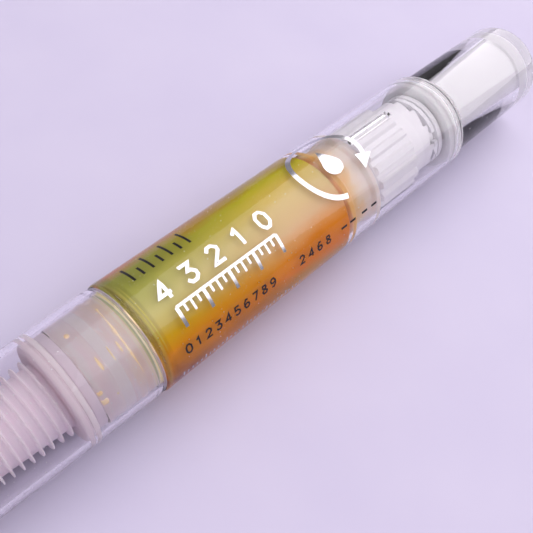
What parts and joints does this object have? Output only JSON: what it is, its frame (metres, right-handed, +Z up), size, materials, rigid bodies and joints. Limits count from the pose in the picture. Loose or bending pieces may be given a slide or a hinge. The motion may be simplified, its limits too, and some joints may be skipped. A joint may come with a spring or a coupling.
{
  "type": "twist-up cuticle oil pen",
  "caption": "Slim clear twist-up oil pen: a screw-driven plunger in a clear barrel feeds oil to a brush under a clear push-on cap.",
  "frame": {"origin": "centre of the bounding box, on the ground that the pen lies on", "axes": "+X along the pen from the cap's end to the knob's end, +Z up, +Y to the left when seen from the cap's end"},
  "size_m": [0.1196, 0.014, 0.0139],
  "materials": {
    "clear_barrel": "clear, glossy",
    "amber_oil": "clear yellow-green to amber liquid",
    "frosted_holder": "frosted, translucent",
    "seal_silicone": "satin translucent silicone",
    "gasket_silicone": "satin translucent silicone",
    "feed_tube_plastic": "natural translucent tube",
    "bristle_nylon": "fine pale bristles",
    "white_nut": "moulded white",
    "collar_natural": "natural translucent",
    "clear_cap": "clear, glossy",
    "clear_knob": "clear, glossy",
    "white_core": "moulded white",
    "white_ratchet": "moulded white",
    "plunger_plastic": "soft natural polyethylene",
    "white_rod": "moulded white",
    "dark_ink": "black screen print",
    "silver_foil": "hot-foil silver marks"
  },
  "bodies": {
    "barrel": {"barrel_tube": "clear_barrel", "oil_fill": "amber_oil", "brush_holder": "frosted_holder", "holder_seal_ring": "seal_silicone", "neck_gasket": "gasket_silicone", "feed_tube": "feed_tube_plastic", "bristle_tuft": "bristle_nylon", "guide_nut": "white_nut", "end_collar": "collar_natural"},
    "cap": {"cap_shell": "clear_cap"},
    "knob": {"knob_shell": "clear_knob", "knob_core": "white_core", "ratchet_ring": "white_ratchet"},
    "plunger": {"plunger": "plunger_plastic"},
    "rod": {"screw_rod": "white_rod"}
  },
  "joints": [
    {"name": "cap_pull", "type": "slide", "parent": "barrel", "child": "cap", "axis": [-1, 0, 0], "range_m": [0, 0.048]},
    {"name": "knob_twist", "type": "hinge", "parent": "barrel", "child": "knob", "pos_m": [0.05, 0, 0.00696], "axis": [-1, 0, 0], "range_deg": [0, 2880], "deforming": ["ratchet_ring"]},
    {"name": "plunger_slide", "type": "slide", "parent": "barrel", "child": "plunger", "axis": [-1, 0, 0], "range_m": [0, 0.024], "deforming": ["oil_fill"]},
    {"name": "rod_slide", "type": "slide", "parent": "knob", "child": "rod", "axis": [-1, 0, 0], "range_m": [0, 0.024]}
  ],
  "couplings": [
    {"joint": "plunger_slide", "follows": "knob_twist", "m_per_rad": 0.00047746},
    {"joint": "rod_slide", "follows": "knob_twist", "m_per_rad": 0.00047746}
  ]
}
